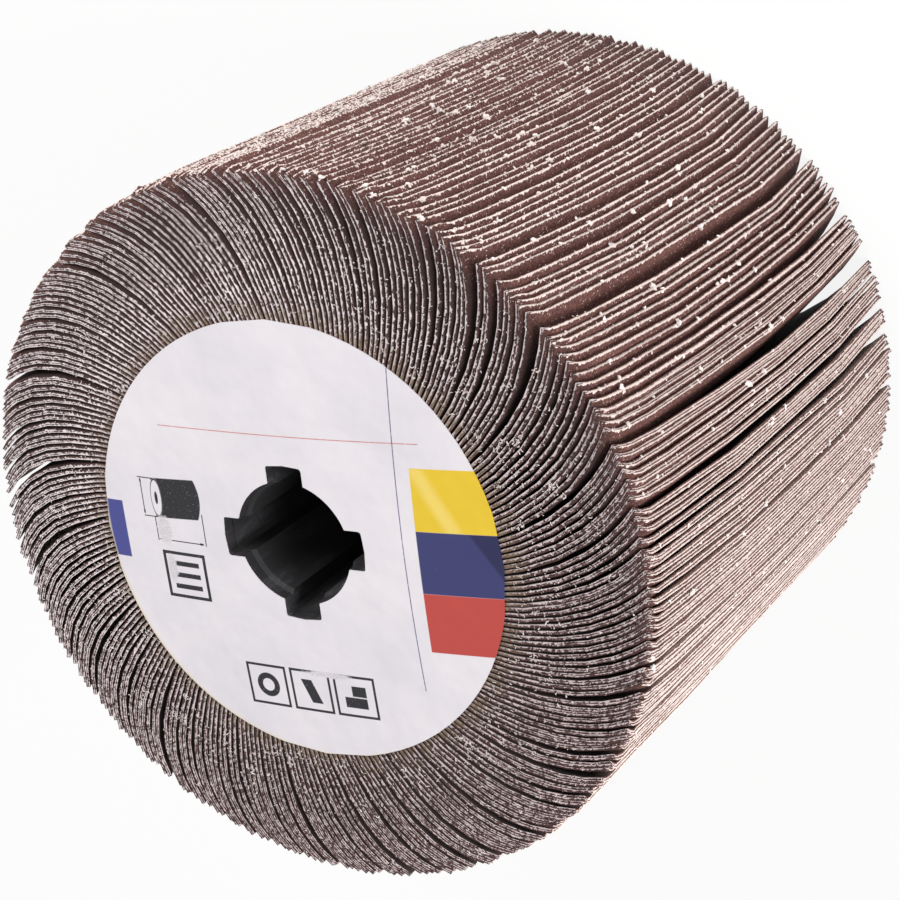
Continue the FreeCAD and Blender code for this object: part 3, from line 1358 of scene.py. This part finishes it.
@dataclass
class Lint:
    """Loose fibre that hangs on the flaps' cut edges."""

    layout: FlapLayout
    material: bpy.types.Material
    name: str
    kind: LintKind
    end: Optional[End]
    density: float
    length: float
    seed: int
    weight: Callable[[Vector], float]
    width: float = 0.5
    thickness: float = 0.09
    patch: float = 1.5
    patch_edge: float = 0.0
    spread: float = 0.65
    lift: float = 0.4
    curl_scale: float = 2400.0
    curl_depth: float = 1.3

    def guide(self) -> bpy.types.Object:
        """Narrow strips along the cut edges that carry the fibre.

        Returns:
            An object that holds the strips.
        """
        points: list[Vector] = []
        faces: list[tuple[int, ...]] = []
        weights: list[float] = []
        for index in range(self.layout.count):
            start = len(points)
            line = self._line(index)
            for place in line:
                across = Vector((-place.y, place.x, 0.0)).normalized() * (self.width / 2)
                weight = self.weight(place)
                points += [place - across, place + across]
                weights += [weight, weight]
            for row in range(len(line) - 1):
                low = start + 2 * row
                faces.append((low, low + 1, low + 3, low + 2))
        return placed("lint_guide", mesh_of("lint_guide", points, faces, {"lint": weights}))

    def _line(self, index: int) -> list[Vector]:
        """Points along one flap's cut edge.

        Args:
            index: which flap.

        Returns:
            The points, in millimetres.
        """
        if self.end is None:
            heights = [4.0 * step for step in range(25)] + [98.0, 99.2]
            return [self.layout.point(index, 1.0, height) for height in heights]
        height = self.layout.length if self.end is End.FRONT else 0.0
        return [self.layout.point(index, 0.2 + 0.08 * step, height) for step in range(11)]

    def tree(self) -> GeometryTree:
        """The rule that sets bits of fibre on a strip.

        Returns:
            The tree, ready to grow.
        """
        values = {
            "Density": self.density,
            "Length": self.length * MM,
            "Thickness": self.thickness,
            "Patch": self.patch * MM,
            "Patch edge": self.patch_edge,
            "Seed": self.seed,
            "Fibre": self.material,
        }
        tree = GeometryTree("lint_" + self.kind.value, values)
        given = tree.given
        density = tree.maths("MULTIPLY", given["Density"], tree.carried("lint"))
        inputs = {"Mesh": given["Geometry"], "Density": density, "Seed": given["Seed"]}
        spread = tree.node("GeometryNodeDistributePointsOnFaces", {}, inputs).outputs
        size = tree.random_value("FLOAT", {2: 1.0 - self.spread, 3: 1.0 + self.spread}, 1)
        lift = self.lift
        turn = tree.random_value("FLOAT_VECTOR", {0: (-lift, -lift, 0.0), 1: (lift, lift, 6.28)}, 0)
        lying = tree.node(
            "FunctionNodeRotateRotation",
            {"rotation_space": "LOCAL"},
            {0: spread["Rotation"], 1: turn},
        ).outputs[0]
        inputs = {
            "Points": spread["Points"],
            "Instance": self._thread(tree) if self.kind is LintKind.THREAD else self._lump(tree),
            "Rotation": lying,
            "Scale": tree.maths("MULTIPLY", size, given["Length"]),
        }
        finer = tree.maths("DIVIDE", 1.0, given["Patch"])
        blots = tree.node("ShaderNodeTexNoise", {}, {"Scale": finer, "Detail": 1.0}).outputs[0]
        inputs["Selection"] = tree.maths("GREATER_THAN", blots, given["Patch edge"])
        bits = tree.node("GeometryNodeInstanceOnPoints", {}, inputs).outputs[0]
        bits = tree.node("GeometryNodeRealizeInstances", {}, {0: bits}).outputs[0]
        depth = tree.maths("MULTIPLY", given["Length"], self.curl_depth)
        bits = tree.roughened(bits, self.curl_scale, 3.0, depth)
        tree.close(bits, ((True, given["Fibre"]),))
        return tree

    def _lump(self, tree: GeometryTree) -> Socket:
        """One small flat lump of matted fibre, one unit long, rounder in the large kind.

        Args:
            tree: the tree that it is in.

        Returns:
            The lump.
        """
        finer = 3 if self.kind is LintKind.LUMP else 2
        inputs = {"Radius": 0.5, "Subdivisions": finer}
        ball = tree.node("GeometryNodeMeshIcoSphere", {}, inputs).outputs[0]
        inputs = {"Geometry": ball, "Scale": (1.0, 0.6, 0.4)}
        return tree.node("GeometryNodeTransform", {}, inputs).outputs[0]

    def _thread(self, tree: GeometryTree) -> Socket:
        """One short bent thread, one unit long.

        Args:
            tree: the tree that it is in.

        Returns:
            The thread.
        """
        inputs = {"Resolution": 3, "Radius": tree.given["Thickness"]}
        ring = tree.node("GeometryNodeCurvePrimitiveCircle", {}, inputs)
        inputs = {"Start": (-0.5, 0.0, 0.0), "Middle": (0.0, 0.4, 0.1), "End": (0.5, 0.0, 0.0)}
        inputs["Resolution"] = 2
        line = tree.node("GeometryNodeCurveQuadraticBezier", {}, inputs).outputs[0]
        inputs = {"Curve": line, "Profile Curve": ring.outputs[0], "Fill Caps": True}
        return tree.node("GeometryNodeCurveToMesh", {}, inputs).outputs[0]

    def build(self) -> bpy.types.Object:
        """Grow the lint.

        Returns:
            The piece.
        """
        piece = self.tree().grow(self.guide(), self.name)
        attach(piece, "root")
        log.info("%s: %d faces", self.name, len(piece.data.polygons))
        return piece


# The label

@dataclass
class Label:
    """The paper label, slightly wavy, with its keyed opening."""

    material: bpy.types.Material
    radius: float = 36.4
    centre_x: float = -0.433
    centre_y: float = -0.25
    height: float = 100.0
    thickness: float = 0.2
    core_x: float = -0.978
    core_y: float = -0.208
    keyway_turn: float = -4.5
    hole_radius: float = 10.3
    slot_half: float = 3.3
    slot_reach: float = 12.7
    slot_dome: float = 0.25
    corner: float = 0.5
    corner_steps: int = 4
    arc_steps: int = 12
    rings: int = 12
    lift: float = 0.06
    wave: float = 0.05

    def opening(self) -> list[Vector]:
        """The outline of the keyed opening, counter-clockwise.

        Returns:
            The points of the outline.
        """
        outline: list[Vector] = []
        leave = math.degrees(math.asin(self.slot_half / self.hole_radius))
        for quarter in range(4):
            turn = 90.0 * quarter + self.keyway_turn
            walls = self._corner(-1.0)
            walls.append(Vector((self.slot_reach + self.slot_dome, 0.0, 0.0)))
            walls += self._corner(1.0)
            for step in range(self.arc_steps + 1):
                angle = leave + (90.0 - 2 * leave) * step / self.arc_steps
                walls.append(polar(self.hole_radius, angle))
            swing = math.radians(turn)
            for wall in walls:
                x = wall.x * math.cos(swing) - wall.y * math.sin(swing)
                y = wall.x * math.sin(swing) + wall.y * math.cos(swing)
                outline.append(Vector((x + self.core_x, y + self.core_y, 0.0)))
        return outline

    def _corner(self, side: float) -> list[Vector]:
        """The rounded corner of a slot.

        Args:
            side: -1 for its lower side, 1 for its upper side.

        Returns:
            The points of the corner.
        """
        corner = []
        for step in range(self.corner_steps + 1):
            bend = math.radians(90.0 * step / self.corner_steps - (90.0 if side < 0 else 0.0))
            x = self.slot_reach - self.corner + self.corner * math.cos(bend)
            y = side * (self.slot_half - self.corner) + self.corner * math.sin(bend)
            corner.append(Vector((x, y, 0.0)))
        return corner

    def build(self) -> bpy.types.Object:
        """Build the sheet.

        Returns:
            The piece.
        """
        outline = self.opening()
        count = len(outline)
        points: list[Vector] = []
        for top in (True, False):
            for ring in range(self.rings + 1):
                share = ring / self.rings
                for spot in outline:
                    angle = math.degrees(math.atan2(spot.y - self.core_y, spot.x - self.core_x))
                    rim = polar(self.radius, angle) + Vector((self.centre_x, self.centre_y, 0.0))
                    place = spot.lerp(rim, share)
                    lift = self._wave(place, share) + (self.thickness if top else 0.0)
                    points.append(Vector((place.x, place.y, self.height + lift)))
        faces: list[tuple[int, ...]] = []
        layer = count * (self.rings + 1)
        for ring in range(self.rings):
            for step in range(count):
                a = ring * count + step
                b = ring * count + (step + 1) % count
                c, d = b + count, a + count
                faces.append((a, d, c, b))
                faces.append((layer + a, layer + b, layer + c, layer + d))
        for step in range(count):
            a, b = step, (step + 1) % count
            faces.append((a, b, layer + b, layer + a))
            a, b = a + self.rings * count, b + self.rings * count
            faces.append((b, a, layer + a, layer + b))
        piece = placed("label_sheet", mesh_of("label_sheet", points, faces))
        piece.data.materials.append(self.material)
        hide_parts("front_label")
        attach(piece, "root")
        log.info("%s: %d faces", piece.name, len(piece.data.polygons))
        return piece

    def _wave(self, place: Vector, share: float) -> float:
        """The small height of the sheet's waves at a place."""
        roll = math.sin(place.x / 6.1 + 1.0) * math.sin(place.y / 7.7 - 0.6)
        return self.lift + self.wave * roll * min(1.0, 4 * share)


# The studio

@dataclass
class Studio:
    """The floor, the light and the camera."""

    camera_place: tuple[float, float, float] = (197.383, 113.959, 358.694)
    camera_turn: tuple[float, float, float, float] = (
        0.9475905987754226,
        -0.17382884514650593,
        0.26403128469996023,
        -0.04629330844902721,
    )
    lens: float = 89.154
    surround: float = 0.45
    floor_half: float = 4000.0

    def build(self) -> None:
        """Set up everything that isn't the wheel."""
        self._camera()
        self._world()
        self._floor()
        self._lamp("key", (-160.0, 560.0, 420.0), 420.0, 3.6, (1.0, 0.985, 0.97))
        self._lamp("fill", (620.0, -160.0, 300.0), 420.0, 4.1, (1.0, 0.99, 0.98))
        log.info("studio: camera, floor and two lamps")

    def _camera(self) -> None:
        """The camera at the photograph's place."""
        data = bpy.data.cameras.new("camera")
        data.lens = self.lens
        data.sensor_width = 36.0
        data.clip_start = 0.01
        camera = placed("camera", data)
        camera.rotation_mode = "QUATERNION"
        camera.rotation_quaternion = Quaternion(self.camera_turn)
        camera.location = Vector(self.camera_place) * MM
        bpy.context.scene.camera = camera

    def _white_for_lens(self, tree: Tree) -> Flow:
        """1 for rays that show the background: straight, mirrored or through glass.

        Args:
            tree: the tree that asks.

        Returns:
            The mask of such rays.
        """
        rays = tree.node("ShaderNodeLightPath").outputs
        seen = Flow(tree, rays["Is Camera Ray"])
        seen = seen.either(Flow(tree, rays["Is Glossy Ray"]))
        return seen.either(Flow(tree, rays["Is Transmission Ray"]))

    def _world(self) -> None:
        """Even pale light all round, and a white background."""
        world = bpy.data.worlds.new("surround")
        world.use_nodes = True
        tree = Tree(world.node_tree)
        light = tree.node("ShaderNodeBackground", {}, {"Color": (1, 1, 1, 1), "Strength": self.surround})
        white = tree.node("ShaderNodeBackground", {}, {"Color": (1, 1, 1, 1), "Strength": 1.0})
        inputs = {0: self._white_for_lens(tree), 1: light.outputs[0], 2: white.outputs[0]}
        mixed = tree.node("ShaderNodeMixShader", {}, inputs)
        tree.node("ShaderNodeOutputWorld", {}, {0: mixed.outputs[0]})
        bpy.context.scene.world = world

    def _floor(self) -> None:
        """A plain white floor that keeps a faint shadow of the wheel."""
        half = self.floor_half
        signs = ((-1, -1), (1, -1), (1, 1), (-1, 1))
        corners = [Vector((x * half, y * half, -0.02)) for x, y in signs]
        floor = placed("floor", mesh_of("floor", corners, [(0, 1, 2, 3)]))
        material = bpy.data.materials.new("floor")
        material.use_nodes = True
        tree = Tree(material.node_tree)
        matt = tree.node("ShaderNodeBsdfDiffuse", {}, {"Color": (0.9, 0.9, 0.9, 1)})
        white = tree.node("ShaderNodeEmission", {}, {"Color": (1, 1, 1, 1), "Strength": 1.0})
        share = self._white_for_lens(tree) * 0.88
        inputs = {0: share, 1: matt.outputs[0], 2: white.outputs[0]}
        mixed = tree.node("ShaderNodeMixShader", {}, inputs)
        tree.node("ShaderNodeOutputMaterial", {}, {0: mixed.outputs[0]})
        floor.data.materials.append(material)

    def _lamp(
        self,
        name: str,
        place: tuple[float, float, float],
        size: float,
        power: float,
        tint: Colour,
    ) -> None:
        """A soft square lamp that points at the wheel.

        Args:
            name: the lamp's name.
            place: where it hangs, in millimetres.
            size: the length of its side in millimetres.
            power: its power in watts.
            tint: its colour.
        """
        data = bpy.data.lights.new(name, "AREA")
        data.energy = power
        data.size = size * MM
        data.color = tint
        lamp = placed(name, data)
        lamp.location = Vector(place) * MM
        aim = Vector((0.0, 0.0, 50.0)) - Vector(place)
        lamp.rotation_euler = aim.to_track_quat("-Z", "Y").to_euler()


@dataclass
class Hub:
    """The moulded core, the resin round it and the end discs."""

    finishes: dict[str, bpy.types.Material]

    def dress(self) -> None:
        """Give each solid node of the hub its finish."""
        for name, material in self.finishes.items():
            node = bpy.data.objects[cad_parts[name].name]
            node.data.materials.clear()
            node.data.materials.append(material)
            log.info("%s: %s", name, material.name)


@dataclass(frozen=True)
class TipMats:
    """How much matted lint the tips carry: most on one side, half-way up, and at the front corner."""

    angle: float = 92.0
    angle_span: float = 22.0
    height: float = 46.0
    height_span: float = 32.0
    corner_start: float = 98.5
    corner: float = 4.0
    blot: float = 9.0

    def weight(self, place: Vector) -> float:
        """How much lint there is at a place.

        Args:
            place: the place, in millimetres.

        Returns:
            The share that a strip carries there.
        """
        angle = math.degrees(math.atan2(place.y, place.x)) % 360.0
        side = math.exp(-(((angle - self.angle) / self.angle_span) ** 2))
        along = math.exp(-(((place.z - self.height) / self.height_span) ** 2))
        patchy = max(0.0, 0.5 + 1.2 * noise.noise(place / self.blot))
        corner = self.corner if place.z > self.corner_start else 0.0
        return (0.05 + 1.3 * side * along + 0.2 * along + corner) * patchy


def mats_on_end(place: Vector) -> float:
    """How much matted lint an end carries at a place."""
    return max(0.02, 0.35 + 1.1 * noise.noise(place / 8.0))


def even(place: Vector) -> float:
    """The same amount of loose fibre everywhere."""
    return 1.0


def main() -> None:
    """Build the picture of the flap wheel."""
    logging.basicConfig(level=logging.INFO, format="%(name)s: %(message)s")
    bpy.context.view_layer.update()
    bpy.context.scene.view_settings.view_transform = "Standard"
    Studio().build()
    hub = Hub(
        {
            "hub_core": MouldedFinish("core_plastic").material(),
            "front_disc": MouldedFinish("disc_plastic").material(),
            "rear_disc": MouldedFinish("rear_disc_plastic").material(),
            "resin_ring": ResinFinish().material(),
        }
    )
    hub.dress()
    layout = FlapLayout()
    flaps = FlapCloth(
        layout,
        GrainFinish().material(),
        ClothFinish().material(),
        CutEdgeFinish().material(),
    )
    flaps.build()
    lint = LintFinish().material()
    lump, crumb, thread = LintKind.LUMP, LintKind.CRUMB, LintKind.THREAD
    front, rear = End.FRONT, End.REAR
    mats = TipMats().weight
    # Each: name, kind, end, density, length, seed, weight, width, thickness, patch, patch edge.
    tufts = (
        Lint(layout, lint, "lint_on_tips", lump, None, 240000.0, 0.9, 5, mats, 0.6),
        Lint(layout, lint, "crumbs_on_tips", crumb, None, 140000.0, 0.55, 12, even, 0.6),
        Lint(layout, lint, "frays_on_tips", thread, None, 600000.0, 0.3, 6, even, 0.5, 0.16),
        Lint(layout, lint, "lint_on_front", thread, front, 5e6, 0.45, 7, mats_on_end, 0.8, 0.15, 3.0, 0.6),
        Lint(layout, lint, "frays_on_front", thread, front, 1800000.0, 0.36, 8, even, 0.5, 0.13),
        Lint(layout, lint, "frays_on_rear", thread, rear, 1200000.0, 0.6, 9, even),
    )
    for tuft in tufts:
        tuft.build()
    Label(LabelFinish().material()).build()


if __name__ == "__main__":
    main()
